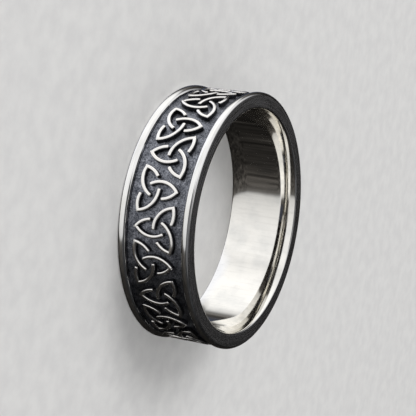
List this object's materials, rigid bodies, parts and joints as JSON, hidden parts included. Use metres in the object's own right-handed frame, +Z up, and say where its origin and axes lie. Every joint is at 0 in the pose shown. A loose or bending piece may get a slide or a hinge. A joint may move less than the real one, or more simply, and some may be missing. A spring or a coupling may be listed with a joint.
{
  "type": "celtic knot ring",
  "caption": "Cast silver finger ring: polished rims along both edges, and between them a sunk, darkened channel with a running row of raised triquetra knots.",
  "frame": {"origin": "on the ring's axis, in the plane of the side face that it lies on", "axes": "+Z up along the ring's axis; -Y is the side that faces the viewer in the picture, with an upward-pointing knot at its middle"},
  "size_m": [0.0222, 0.0222, 0.0065],
  "materials": {
    "silver": "sterling silver, polished on the rims, knots and bore, satin on the side faces, sand-blasted and oxidised dark in the channel"
  },
  "bodies": {
    "root": {"ring_band": "silver"}
  },
  "joints": []
}
